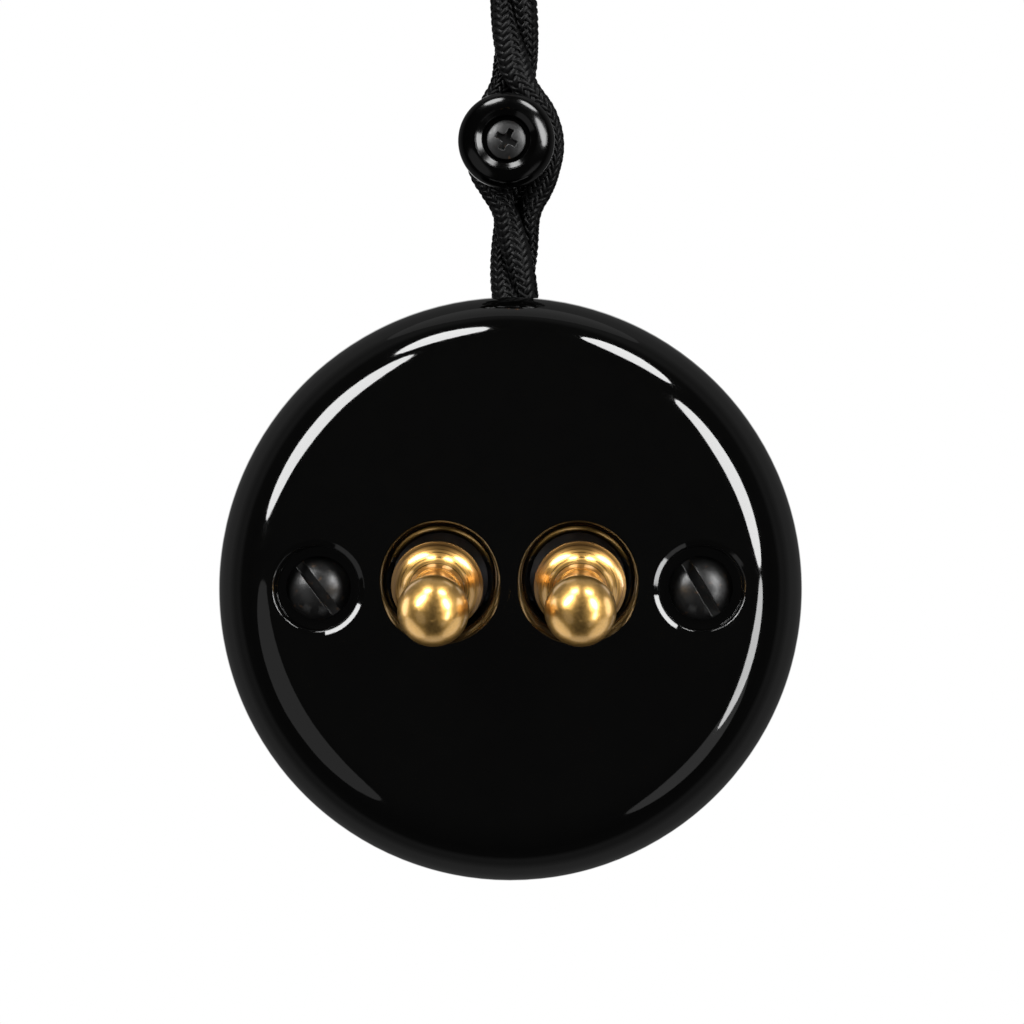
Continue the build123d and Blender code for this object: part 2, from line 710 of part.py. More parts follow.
def make_nodes():
    nodes = {"base": make_base(), "cover": make_cover(), "mounting_plate": make_plate()}
    nodes["contact_block"] = make_block()
    nodes["common_bar"] = make_common_bar()
    for name, place in (("upper", 1), ("lower", -1)):
        pillar = Pos(0, lever_rise + place * pillar_pitch / 2, plate_height)
        bush = make_bush(pillar_bush_radius, pillar_bush_length, screw_radius + fit_gap)
        nodes[f"pillar_insert_{name}"] = pillar * bush
        nodes[f"plate_screw_{name}"] = pillar * Pos(0, 0, plate_thickness) * make_plate_screw()
    for name, side, turn in (("left", -1, screw_slot_turns[0]), ("right", 1, screw_slot_turns[1])):
        post = Pos(side * screw_x, 0)
        nodes[f"cover_screw_{name}"] = post * make_cover_screw(turn)
        bush = make_bush(bush_radius, bush_length, screw_radius + fit_gap)
        nodes[f"post_insert_{name}"] = post * Pos(0, 0, post_top) * bush
        pivot = Pos(side * lever_x, lever_rise, pivot_height)
        swung = pivot * Rot(lever_tilt, 0, 0)
        nodes[f"lever_{name}"] = swung * make_lever()
        nodes[f"plunger_{name}"] = swung * make_plunger()
        nodes[f"plunger_spring_{name}"] = swung * make_spring()
        nodes[f"pivot_pin_{name}"] = pivot * cross_rod(pin_radius, pin_length)
        trunnion = Pos(side * lever_x, lever_rise, trunnion_height)
        tilted = trunnion * Rot(-rocker_tilt, 0, 0) * Pos(0, 0, -trunnion_height)
        nodes[f"rocker_{name}"] = tilted * make_rocker()
        nodes[f"moving_contact_{name}"] = tilted * make_moving_contact()
        nodes[f"fixed_contact_{name}"] = Pos(side * lever_x, contact_y) * make_fixed_contact()
        nodes[f"out_terminal_{name}"] = make_out_terminal(side)
        nodes[f"clamp_screw_{name}"] = Pos(side * clamp_place, clamp_y) * make_clamp_screw()
        block_screw = Pos(side * block_screw_pitch / 2, lever_rise - block_screw_drop)
        nodes[f"block_screw_{name}"] = block_screw * make_block_screw()
    nodes["clamp_screw_feed"] = Pos(0, clamp_y) * make_clamp_screw()
    nodes["insulator"] = make_insulator()
    nodes["insulator_screw"] = make_insulator_screw()
    for name, points in core_routes().items():
        nodes[name] = make_core(name, points)
    nodes["inner_ends"] = make_inner_ends()
    nodes["outer_ends"] = make_outer_ends()
    return nodes


# Turn every node upright, with the wall as the plane y = 0, and write it
upright = Plane((0, 0, 0), x_dir=(1, 0, 0), z_dir=(0, -1, 0)).location
os.makedirs("parts", exist_ok=True)
for node_name, node in make_nodes().items():
    export_step(upright * node, f"parts/{node_name}.step")
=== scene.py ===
import json
from math import cos, pi, radians, sin, sqrt

import bpy
import numpy as np
from mathutils import Matrix, Vector


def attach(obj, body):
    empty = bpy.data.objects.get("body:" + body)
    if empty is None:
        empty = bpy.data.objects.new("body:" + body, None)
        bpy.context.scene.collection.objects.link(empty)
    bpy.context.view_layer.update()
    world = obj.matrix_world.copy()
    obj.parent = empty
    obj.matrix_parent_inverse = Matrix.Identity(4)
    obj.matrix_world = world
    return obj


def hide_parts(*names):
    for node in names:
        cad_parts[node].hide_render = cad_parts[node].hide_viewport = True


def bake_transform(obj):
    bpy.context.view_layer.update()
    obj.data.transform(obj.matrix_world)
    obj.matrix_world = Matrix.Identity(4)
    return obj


# The looks of a round two-lever roller shutter switch with its twisted braided cable and
# a wall insulator. Sizes are millimetres in the switch's own terms: x to the right, up
# along the wall, and out of the wall.

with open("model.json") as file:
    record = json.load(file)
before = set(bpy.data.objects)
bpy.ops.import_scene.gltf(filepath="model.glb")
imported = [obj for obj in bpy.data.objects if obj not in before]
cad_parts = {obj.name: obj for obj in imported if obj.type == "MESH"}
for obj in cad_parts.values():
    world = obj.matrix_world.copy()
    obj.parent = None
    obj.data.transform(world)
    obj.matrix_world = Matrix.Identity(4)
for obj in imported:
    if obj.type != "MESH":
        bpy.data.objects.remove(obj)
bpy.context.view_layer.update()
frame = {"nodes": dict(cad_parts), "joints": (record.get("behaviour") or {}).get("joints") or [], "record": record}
MM = 0.001
SIDES = ("left", "right")
JOINTS = {joint["child"]: joint for joint in frame["joints"]}

# Camera
PHOTO_SIZE = 1024
FOCAL_PIXELS = 3080.0
SENSOR_MM = 36.0
CAMERA_SPOT = (9.5, 0.0, 550.0)
VIEW_CENTRE = (0.2, 13.1, 20.0)
NEAREST = 10.0

# Light. A lamp's values are its direction round the switch and its lean from straight out,
# in degrees, its width and length, and its radiance.
LIGHT_AWAY = 1000.0
SOFTBOXES = (
    (139.0, 49.5, 290.0, 740.0, 14.0),
    (106.0, 65.5, 230.0, 340.0, 14.0),
    (64.0, 65.5, 230.0, 370.0, 14.0),
    (27.0, 47.5, 290.0, 600.0, 14.0),
    (-16.0, 48.0, 180.0, 500.0, 9.0),
    (208.0, 43.0, 500.0, 760.0, 0.33),
    (318.0, 52.0, 300.0, 620.0, 0.45),
    (90.0, 101.0, 420.0, 1000.0, 0.15),
    (90.0, 180.0, 500.0, 500.0, 10.0),  # straight behind
)
OFF_INSULATOR = (0, 4)  # the softboxes that a flag keeps off it
LEVER_FILLS = (  # for the levers alone
    (172.0, 98.0, 500.0, 700.0, 2.3),
    (222.0, 92.0, 800.0, 1100.0, 0.9),
    (270.0, 100.0, 500.0, 900.0, 0.5),
    (318.0, 92.0, 800.0, 1100.0, 0.8),
    (8.0, 98.0, 500.0, 700.0, 2.0),
)
ROOM = (  # from in front of the switch to behind it, and how bright
    (0.0, 0.038),
    (0.3, 0.025),
    (0.42, 0.03),
    (0.48, 0.1),
    (0.56, 0.09),
    (0.68, 0.15),
    (0.8, 0.12),
    (0.93, 0.10),
    (1.0, 0.05),
)
BACKDROP_BEHIND = 800.0
BACKDROP_FADE = 0.35  # of the part in view
BACKDROP_RINGS = (0.5, 1.0, 1.0 + BACKDROP_FADE)
BACKDROP_SIDES = 64

# Finishes. Colours come in pairs that a noise blends.
NOISE_RANGE = (0.3, 0.7)  # most of a noise lies in it
BEVEL_SAMPLES = 6
SHARP_ANGLE = 35.0  # degrees between faces, from which an edge stays sharp
WALL_FACE = (-0.2, -0.1)  # along the frame's y, from glaze to bare porcelain
GLAZE_TONES = (0.0005, 0.0005, 0.0005), (0.0010, 0.0010, 0.0009)
PORCELAIN_TONES = (0.50, 0.46, 0.39), (0.62, 0.58, 0.51)
BRIGHT_BRASS = (0.60, 0.33, 0.08), (0.92, 0.55, 0.16)
# Painted shade: a darker copy of the brass for the skirt's outer ring
SHADED_BRASS = (0.28, 0.15, 0.045), (0.46, 0.255, 0.08)
TURNING_LINES = 2.6  # on the brass, for each millimetre
SKIRT_END = (10.0, 12.0)  # from the lever's pivot
PAINTED_SHADE_FROM = (5.3, 6.9)  # from the lever's axis, at the skirt's edge: painted shade darkens the outer ring between these radii
BLACK_AND_BROWN = (0.008, 0.008, 0.008), (0.05, 0.028, 0.014)
PHENOLIC_TONES = (0.03, 0.016, 0.01), (0.075, 0.04, 0.026)
BRAID_TONES = (0.0015, 0.0015, 0.0016), (0.004, 0.004, 0.0042)
FIBRE_SCALE = (9.0, 0.6, 1.0)  # round a yarn, and along it for each millimetre
METALS = {  # by slot: name, darker and lighter tone, roughness, depth of the grain
    "brass": ("strip_brass", (0.52, 0.36, 0.13), (0.62, 0.45, 0.18), (0.25, 0.4), 0.004),
    "plated_steel": ("plated_steel", (0.22, 0.22, 0.23), (0.30, 0.30, 0.31), (0.3, 0.45), 0.004),
    "silver": ("contact_silver", (0.75, 0.74, 0.7), (0.85, 0.84, 0.8), (0.2, 0.35), 0.003),
    "copper": ("bare_copper", (0.6, 0.28, 0.15), (0.72, 0.36, 0.2), (0.25, 0.4), 0.004),
}

# Wall insulator and the thread of its screw, behind the wall
KNOB_X = -0.8
KNOB_UP = 77.5
THREAD_ROOT = 1.5
THREAD_DEPTH = 0.55
THREAD_PITCH = 1.8
THREAD_FLANK = 0.3  # of the pitch, each side of the crest
THREAD_FROM, THREAD_POINT, THREAD_END = 1.5, 19.0, 24.0  # behind the wall
THREAD_STEPS = 24  # in a turn
THREAD_SHARP = 40.0

# Cable
CORE_DIAMETER = 4.0
CABLE_X = 0.5
CABLE_OUT = 11.0
ROUTE_RESOLUTION = 24
TWIST = (  # height and turn in degrees
    (38.5, -360.0),
    (50.5, -160.0),
    (72.0, 0.0),
    (83.0, 0.0),
    (106.0, 120.0),
)
TWIST_EASE = 3.0
TWIST_SAMPLES = 13
PACK_RADIUS = 0.95  # flatter strands where they lie round each other
PACK_SPREAD = 0.5  # and wider, in radians for each millimetre
PACK_FROM = (8.5, 13.0)  # begins this far from the knob
PACK_INSIDE = (39.0, 44.0)  # and ends between these heights, in the housing
SIDE_SPREAD = 0.24  # wider side by side, next to the knob
SIDE_PLACE = 8.5
SIDE_REACH = 4.5
SLEEVE_SIDES = 16
SLEEVE_EVERY = 3  # points of the line
PATH_EVERY = 4
CARRIERS = 12  # yarns each way
BRAID_PITCH = 15.5
YARN_WIDTH = 0.64
YARN_THICKNESS = 0.42
YARN_WAVE = 0.18
YARN_SIDES = 6
YARN_STEP = 0.28
YARN_SHIFT = 1.7  # of the fibres, from one yarn to the next
YARN_SHARP = 80.0
WIRES = 6  # round a middle one, in each bare end
WIRE_RADIUS = 0.3
WIRE_LAY = 12.0
WIRE_SIDES = 8
WIRE_RINGS = 25
WIRE_SHARP = 60.0
BARE_ENDS = ((-1.9, 11.0), (1.7, 13.1), (1.7, 8.9))
BARE_FROM, BARE_TO = 105.0, 114.0
CLAMP_X = 20.5
CORE_START = 26.05
WIRE_OUT = 18.63
ROUTES = {
    "core_left": [
        (-CLAMP_X, CORE_START, WIRE_OUT),
        (-CLAMP_X, 29.8, WIRE_OUT),
        (-16.8, 34.0, 16.5),
        (-8.0, 36.4, 12.0),
        (-1.9, 40.0, 11.0),
        (-1.9, 60.5, 11.0),
        (-1.9, 68.0, 11.0),
        (-6.4, 74.0, 10.3),
        (-6.4, 81.0, 10.3),
        (-1.9, 87.0, 11.0),
        (-1.9, 94.5, 11.0),
        (-1.9, 106.0, 11.0),
    ],
    "core_front": [
        (0.0, CORE_START, WIRE_OUT),
        (0.0, 29.8, WIRE_OUT),
        (0.6, 36.6, 16.4),
        (1.7, 43.5, 13.1),
        (1.7, 56.7, 13.1),
        (1.7, 66.0, 13.1),
        (7.2, 73.5, 12.3),
        (7.2, 81.5, 12.3),
        (1.7, 89.0, 13.1),
        (1.7, 106.0, 13.1),
    ],
    "core_back": [
        (CLAMP_X, CORE_START, WIRE_OUT),
        (CLAMP_X, 29.8, WIRE_OUT),
        (16.8, 34.0, 15.5),
        (8.0, 36.4, 9.6),
        (1.7, 40.0, 8.9),
        (1.7, 60.5, 8.9),
        (0.4, 67.5, 8.9),
        (5.1, 74.5, 8.2),
        (5.1, 80.5, 8.2),
        (0.4, 87.5, 8.9),
        (1.7, 94.5, 8.9),
        (1.7, 106.0, 8.9),
    ],
}


# Shapes
def spot(x, up, out):
    """A place on the switch in the frame's metres."""
    return Vector((x, -out, up)) * MM


def metres(sizes):
    return [size * MM for size in sizes]


def add_object(name, data):
    obj = bpy.data.objects.new(name, data)
    bpy.context.scene.collection.objects.link(obj)
    return obj


def smooth_mesh(name, vertices, faces, sharp=SHARP_ANGLE):
    mesh = bpy.data.meshes.new(name)
    mesh.from_pydata([tuple(v) for v in vertices], [], faces)
    mesh.validate()
    mesh.shade_smooth()
    mesh.set_sharp_from_angle(angle=radians(sharp))
    return add_object(name, mesh)


def tube_faces(start, rings, sides):
    """Faces of a closed tube, whose rings of vertices begin at a number."""
    faces = []
    for ring in range(rings - 1):
        for side in range(sides):
            a = start + ring * sides + side
            b = start + ring * sides + (side + 1) % sides
            faces.append((a, b, b + sides, a + sides))
    faces.append(tuple(range(start, start + sides))[::-1])
    faces.append(tuple(range(start + (rings - 1) * sides, start + rings * sides)))
    return faces


def round_turns(count):
    """Angles of a full turn, evenly apart."""
    return np.linspace(0, 2 * pi, count, endpoint=False)


def dress(piece, finish):
    piece.data.materials.clear()
    piece.data.materials.append(finish)


# Nodes of a material or the world
def link(owner, output, target):
    owner.node_tree.links.new(output, target)


def add_node(owner, kind, **values):
    """A node, with values for its settings or its inputs."""
    node = owner.node_tree.nodes.new(kind)
    for key, value in values.items():
        if hasattr(node, key):
            setattr(node, key, value)
        else:
            node.inputs[key.replace("_", " ")].default_value = value
    return node


def new_material(name, **values):
    """A material and its shader, with the values that hold all over the surface."""
    material = bpy.data.materials.new(name)
    material.use_nodes = True
    shader = material.node_tree.nodes["Principled BSDF"]
    for key, value in values.items():
        shader.inputs[key.replace("_", " ")].default_value = value
    return material, shader


def own_place(material):
    """Where a point lies in its object's own space."""
    return add_node(material, "ShaderNodeTexCoord").outputs["Object"]


def vector_math(material, operation, first, second=None):
    """Outputs of a node that takes a place and a constant vector."""
    node = add_node(material, "ShaderNodeVectorMath", operation=operation)
    link(material, first, node.inputs[0])
    if second is not None:
        node.inputs[1].default_value = second
    return node.outputs


def noise(material, per_mm, detail=3.0, place=None):
    """Noise in the object's own space or another, with its grain as waves for each millimetre."""
    texture = add_node(material, "ShaderNodeTexNoise", Scale=per_mm / MM, Detail=detail)
    link(material, own_place(material) if place is None else place, texture.inputs["Vector"])
    return texture.outputs["Fac"]


def remap(owner, value, to, across=NOISE_RANGE):
    """Carries what a value does across one range over to another range."""
    node = add_node(
        owner,
        "ShaderNodeMapRange",
        From_Min=across[0],
        From_Max=across[1],
        To_Min=to[0],
        To_Max=to[1],
    )
    link(owner, value, node.inputs["Value"])
    return node.outputs["Result"]


def blend(material, share, first, second, kind="RGBA"):
    """A mix of two colours, plain ones or other nodes' outputs, or of two values."""
    node = add_node(material, "ShaderNodeMix", data_type=kind)
    socket_type = "VALUE" if kind == "FLOAT" else kind
    link(material, share, node.inputs["Factor"])
    ends = [socket for socket in node.inputs if socket.type == socket_type][-2:]
    for socket, end in zip(ends, (first, second)):
        if isinstance(end, tuple):
            socket.default_value = (*end, 1)
        else:
            link(material, end, socket)
    return next(socket for socket in node.outputs if socket.type == socket_type)


def rounded(material, radius_mm):
    """A normal that rounds the edges off a little."""
    node = add_node(material, "ShaderNodeBevel", samples=BEVEL_SAMPLES, Radius=radius_mm * MM)
    return node.outputs["Normal"]


def bump(material, shader, height, depth_mm, below=None):
    """Relief on the surface, over a normal that is already there."""
    node = add_node(material, "ShaderNodeBump", Strength=1.0, Distance=depth_mm * MM)
    link(material, height, node.inputs["Height"])
    if below is not None:
        link(material, below, node.inputs["Normal"])
    link(material, node.outputs["Normal"], shader.inputs["Normal"])
    return node.outputs["Normal"]


def paint(material, shader, tone, roughness):
    link(material, tone, shader.inputs["Base Color"])
    link(material, roughness, shader.inputs["Roughness"])


def at_wall(material):
    """One on the faces that lie against the wall, and none elsewhere."""
    parts = add_node(material, "ShaderNodeSeparateXYZ")
    link(material, own_place(material), parts.inputs[0])
    return remap(material, parts.outputs["Y"], (0.0, 1.0), metres(WALL_FACE))


# Materials
def glaze(name, roughness, shine):
    """Black glaze with a gentle wave; the bare porcelain shows at the wall."""
    material, shader = new_material(name, Specular_IOR_Level=shine, IOR=1.6)
    bare = at_wall(material)
    black = blend(material, noise(material, per_mm=0.25), *GLAZE_TONES)
    body = blend(material, noise(material, per_mm=0.6, detail=6.0), *PORCELAIN_TONES)
    smooth = remap(material, noise(material, per_mm=0.5), roughness)
    rough = remap(material, noise(material, per_mm=2.0, detail=5.0), (0.7, 0.9))
    tone = blend(material, bare, black, body)
    paint(material, shader, tone, blend(material, bare, smooth, rough, "FLOAT"))
    edges = rounded(material, radius_mm=0.25)
    gentle = noise(material, per_mm=0.06, detail=1.0)
    wave = bump(material, shader, gentle, depth_mm=0.12, below=edges)
    fine = noise(material, per_mm=0.5, detail=2.0)
    bump(material, shader, fine, depth_mm=0.0025, below=wave)
    return material


def metal(name, darker, lighter, roughness, depth):
    material, shader = new_material(name, Metallic=1.0)
    tone = blend(material, noise(material, per_mm=0.4), darker, lighter)
    paint(material, shader, tone, remap(material, noise(material, per_mm=1.5), roughness))
    bump(material, shader, noise(material, per_mm=4.0, detail=4.0), depth)
    return material


def turned_brass(name, pivot, axis):
    """Lacquered brass turned round a lever's axis, with lines on the skirt, a rubbed ball and painted shade on the
    skirt's outer ring.
    """
    material, shader = new_material(
        name,
        Metallic=1.0,
        Anisotropic=0.35,
        Anisotropic_Rotation=0.25,
        Coat_Weight=0.8,
        Coat_Roughness=0.12,
        Coat_IOR=1.6,
    )
    reach = vector_math(material, "SUBTRACT", own_place(material), pivot)["Vector"]
    distance = vector_math(material, "LENGTH", reach)["Value"]
    along = vector_math(material, "DOT_PRODUCT", reach, axis)["Value"]
    ring = vector_math(material, "CROSS_PRODUCT", reach, axis)["Vector"]
    radius = vector_math(material, "LENGTH", ring)["Value"]
    turned = add_node(
        material,
        "ShaderNodeVectorTransform",
        vector_type="VECTOR",
        convert_from="OBJECT",
        convert_to="WORLD",
    )
    link(material, ring, turned.inputs["Vector"])
    link(material, turned.outputs["Vector"], shader.inputs["Tangent"])
    profile = add_node(material, "ShaderNodeCombineXYZ")
    link(material, along, profile.inputs["X"])
    link(material, radius, profile.inputs["Y"])
    lines = noise(material, TURNING_LINES, detail=2.0, place=profile.outputs["Vector"])
    skirt = remap(material, distance, (1.0, 0.0), metres(SKIRT_END))
    rubbed = remap(material, noise(material, per_mm=2.4, detail=5.0), (0.47, 0.65))
    worn = blend(material, skirt, rubbed, lines, "FLOAT")
    bright = blend(material, remap(material, worn, (0.0, 1.0)), *BRIGHT_BRASS)
    # Painted shade: the skirt's outer ring takes on a darker brass copy further from the axis
    shaded_tone = blend(material, worn, *SHADED_BRASS)
    painted_shade = add_node(material, "ShaderNodeMath", operation="MULTIPLY")
    link(material, skirt, painted_shade.inputs[0])
    link(material, remap(material, radius, (0.0, 1.0), metres(PAINTED_SHADE_FROM)), painted_shade.inputs[1])
    tone = blend(material, painted_shade.outputs[0], bright, shaded_tone)
    paint(material, shader, tone, remap(material, worn, (0.24, 0.36)))
    edges = rounded(material, radius_mm=0.12)
    scratches = noise(material, per_mm=5.0, detail=6.0)
    scratched = bump(material, shader, scratches, depth_mm=0.0025, below=edges)
    bump(material, shader, worn, depth_mm=0.006, below=scratched)
    return material


def satin_black():
    """Blackened steel with brown rubbed spots."""
    material, shader = new_material("blackened_steel", IOR=1.6)
    spots = remap(material, noise(material, per_mm=0.9, detail=5.0), (0.0, 1.0), (0.62, 0.72))
    tone = blend(material, spots, *BLACK_AND_BROWN)
    paint(material, shader, tone, remap(material, noise(material, per_mm=2.0), (0.3, 0.42)))
    edges = rounded(material, radius_mm=0.28)
    bump(material, shader, noise(material, per_mm=6.0, detail=4.0), depth_mm=0.004, below=edges)
    return material


def phenolic():
    material, shader = new_material("moulded_phenolic")
    tone = blend(material, noise(material, per_mm=1.2, detail=6.0), *PHENOLIC_TONES)
    paint(material, shader, tone, remap(material, noise(material, per_mm=1.0), (0.3, 0.5)))
    bump(material, shader, noise(material, per_mm=3.0), depth_mm=0.004)
    return material


def braid_cloth():
    """Dark shiny yarn, with fibres along it."""
    material, shader = new_material(
        "braided_rayon", Specular_IOR_Level=0.17, Sheen_Weight=0.01, Sheen_Roughness=0.4
    )
    along = add_node(material, "ShaderNodeUVMap", uv_map="yarn")
    mapping = add_node(material, "ShaderNodeMapping", Scale=FIBRE_SCALE)
    texture = add_node(material, "ShaderNodeTexNoise", Scale=1.0, Detail=3.0)
    link(material, along.outputs["UV"], mapping.inputs["Vector"])
    link(material, mapping.outputs["Vector"], texture.inputs["Vector"])
    fibre = texture.outputs["Fac"]
    tone = blend(material, fibre, *BRAID_TONES)
    paint(material, shader, tone, remap(material, fibre, (0.5, 0.32)))
    bump(material, shader, fibre, depth_mm=0.05)
    return material


# Cable: three braided strands
def route_line(name, points):
    """Points along the smooth line of a core's route, in millimetres of (x, up, out)."""
    curve = bpy.data.curves.new(name + "_route", "CURVE")
    curve.dimensions = "3D"
    curve.resolution_u = ROUTE_RESOLUTION
    spline = curve.splines.new("NURBS")
    spline.points.add(len(points) - 1)
    for point, place in zip(spline.points, points):
        point.co = (*spot(*place), 1)
    spline.order_u = 3
    spline.use_endpoint_u = True
    holder = bpy.data.objects.new(name + "_route", curve)
    mesh = bpy.data.meshes.new_from_object(holder)
    line = np.array([(v.co.x, v.co.z, -v.co.y) for v in mesh.vertices]) / MM
    bpy.data.objects.remove(holder)
    bpy.data.curves.remove(curve)
    bpy.data.meshes.remove(mesh)
    return line


def twist_angle(up):
    """How far the strands have turned round each other at a height, none beside the knob."""
    heights, turns = zip(*TWIST)
    nearby = np.linspace(-TWIST_EASE, TWIST_EASE, TWIST_SAMPLES)
    return np.radians(np.mean([np.interp(up + step, heights, turns) for step in nearby], axis=0))


def twisted(line):
    angle = twist_angle(line[:, 1])
    x, out = line[:, 0] - CABLE_X, line[:, 2] - CABLE_OUT
    turned_x = CABLE_X + x * np.cos(angle) - out * np.sin(angle)
    turned_out = CABLE_OUT + x * np.sin(angle) + out * np.cos(angle)
    return np.stack([turned_x, line[:, 1], turned_out], axis=1)


def evenly(line, step):
    """The same line with points a step apart, and their distances along it."""
    lengths = np.r_[0, np.cumsum(np.linalg.norm(np.diff(line, axis=0), axis=1))]
    count = int(np.ceil(lengths[-1] / step)) + 1
    places = np.linspace(0, lengths[-1], count)
    points = np.stack([np.interp(places, lengths, line[:, axis]) for axis in range(3)], axis=1)
    return points, places


def moving_frames(points):
    """Tangents, and two cross directions that don't spin, along a line."""
    tangents = np.gradient(points, axis=0)
    tangents /= np.linalg.norm(tangents, axis=1)[:, None]
    first = np.empty_like(points)
    side = np.array([0.0, 0.0, 1.0])
    for i, tangent in enumerate(tangents):
        side = side - tangent * side.dot(tangent)
        side /= np.linalg.norm(side)
        first[i] = side
    return tangents, first, np.cross(tangents, first)


def settled(points, centres):
    """Soft strands, pressed flat round the cable's middle and wider beside the knob."""
    offsets = points - centres
    aside = centres[:, [0, 2]] - (CABLE_X, CABLE_OUT)
    reach = np.linalg.norm(aside, axis=1)
    radial = aside / reach[:, None]
    tangent = np.stack([-radial[:, 1], radial[:, 0]], axis=1)
    section = offsets[:, [0, 2]]
    radius = reach + PACK_RADIUS * (section * radial).sum(axis=1)
    angle = PACK_SPREAD * (section * tangent).sum(axis=1)
    bent = radial * (radius * np.cos(angle))[:, None] + tangent * (radius * np.sin(angle))[:, None]
    packed = points.copy()
    packed[:, [0, 2]] = bent + (CABLE_X, CABLE_OUT)
    up = centres[:, 1]
    from_knob = np.abs(up - KNOB_UP)
    share = np.interp(from_knob, PACK_FROM, (0, 1)) * np.interp(up, PACK_INSIDE, (0, 1))
    beside = np.clip(1 - np.abs(from_knob - SIDE_PLACE) / SIDE_REACH, 0, 1)
    wider = points.copy()
    wider[:, 0] += offsets[:, 0] * SIDE_SPREAD * beside
    return wider * (1 - share)[:, None] + packed * share[:, None]


def make_strand(name, points):
    """A core's filled sleeve and the yarns braided over it, two over and two under."""
    line, places = evenly(twisted(route_line(name, points)), YARN_STEP)
    tangents, first, second = moving_frames(line)
    sleeve_radius = CORE_DIAMETER / 2 - YARN_THICKNESS
    braid_radius = CORE_DIAMETER / 2 - YARN_THICKNESS / 2 - YARN_WAVE / 2
    vertices, centres, uvs = [], [], []
    sleeve_rings = range(0, len(line), SLEEVE_EVERY)
    for i in sleeve_rings:
        for angle in round_turns(SLEEVE_SIDES):
            outward = cos(angle) * first[i] + sin(angle) * second[i]
            vertices.append(line[i] + sleeve_radius * outward)
            centres.append(line[i])
            uvs.append((angle, places[i]))
    faces = tube_faces(0, len(sleeve_rings), SLEEVE_SIDES)
    section = round_turns(YARN_SIDES)
    crossing = 2 * CARRIERS / BRAID_PITCH
    for way in (1, -1):
        for carrier in range(CARRIERS):
            start = len(vertices)
            for i, s in enumerate(places):
                angle = 2 * pi * (carrier / CARRIERS + way * s / BRAID_PITCH)
                phase = 2 * carrier + way * crossing * s
                radius = braid_radius + way * YARN_WAVE * cos(pi / 2 * (phase - 0.5))
                outward = cos(angle) * first[i] + sin(angle) * second[i]
                around = cos(angle) * second[i] - sin(angle) * first[i]
                heading = tangents[i] + way * 2 * pi * radius / BRAID_PITCH * around
                across = np.cross(outward, heading)
                across /= np.linalg.norm(across)
                middle = line[i] + radius * outward
                for turn in section:
                    flat = YARN_WIDTH / 2 * cos(turn) * across
                    vertices.append(middle + flat + YARN_THICKNESS / 2 * sin(turn) * outward)
                    centres.append(line[i])
                    uvs.append((turn / (2 * pi) + carrier * YARN_SHIFT + way, s))
            faces += tube_faces(start, len(places), YARN_SIDES)
    vertices = settled(np.array(vertices), np.array(centres))
    strand = smooth_mesh(name + "_braid", [spot(*v) for v in vertices], faces, YARN_SHARP)
    layer = strand.data.uv_layers.new(name="yarn")
    corners = np.zeros(len(strand.data.loops), np.int32)
    strand.data.loops.foreach_get("vertex_index", corners)
    layer.data.foreach_set("uv", np.array(uvs, np.float32)[corners].ravel())
    path = [spot(*p) for p in line[::PATH_EVERY]] + [spot(*line[-1])]
    return strand, path


# Bare wire ends, the wall screw's thread and the plunger springs
def make_wires():
    """Seven fine wires laid round each other at each free end."""
    vertices, faces = [], []
    section = round_turns(WIRE_SIDES)
    heights = np.linspace(BARE_FROM, BARE_TO, WIRE_RINGS)
    for x, out in BARE_ENDS:
        for wire in range(WIRES + 1):
            start = len(vertices)
            aside = 2 * WIRE_RADIUS if wire < WIRES else 0
            for up in heights:
                angle = 2 * pi * (wire / WIRES + (up - BARE_FROM) / WIRE_LAY)
                middle_x, middle_out = x + aside * cos(angle), out + aside * sin(angle)
                for turn in section:
                    across, outward = WIRE_RADIUS * cos(turn), WIRE_RADIUS * sin(turn)
                    vertices.append(spot(middle_x + across, up, middle_out + outward))
            faces += tube_faces(start, len(heights), len(section))
    wires = smooth_mesh("bare_wires", vertices, [face[::-1] for face in faces], WIRE_SHARP)
    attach(wires, "housing")
    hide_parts("outer_ends")
    return wires


def make_thread():
    """A tapering ridge wound on the wall screw."""
    turns = (THREAD_END - THREAD_FROM) / THREAD_PITCH
    steps = int(turns * THREAD_STEPS)
    vertices = []
    for i in range(steps + 1):
        behind = THREAD_FROM + (THREAD_END - THREAD_FROM) * i / steps
        angle = 2 * pi * turns * i / steps
        taper = min(1.0, (THREAD_END - behind) / (THREAD_END - THREAD_POINT))
        height = THREAD_DEPTH * min(1.0, i / THREAD_STEPS, (steps - i) / THREAD_STEPS)
        ridge = ((0, -THREAD_FLANK), (height, 0.0), (0, THREAD_FLANK))
        for radius, shift in ridge:
            reach = THREAD_ROOT * taper + radius
            place = min(behind + shift * THREAD_PITCH, THREAD_END)
            x, up = KNOB_X + reach * cos(angle), KNOB_UP + reach * sin(angle)
            vertices.append(spot(x, up, -place))
    faces = tube_faces(0, steps + 1, len(ridge))
    thread = smooth_mesh("wall_screw_thread", vertices, faces, THREAD_SHARP)
    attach(thread, "housing")
    return thread


def make_coil(side):
    """A plunger's spring, copied from its CAD piece, which is hidden."""
    node = frame["nodes"]["plunger_spring_" + side]
    coil = add_object("plunger_coil_" + side, node.data.copy())
    coil.matrix_world = node.matrix_world
    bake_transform(coil)
    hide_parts("plunger_spring_" + side)
    return coil


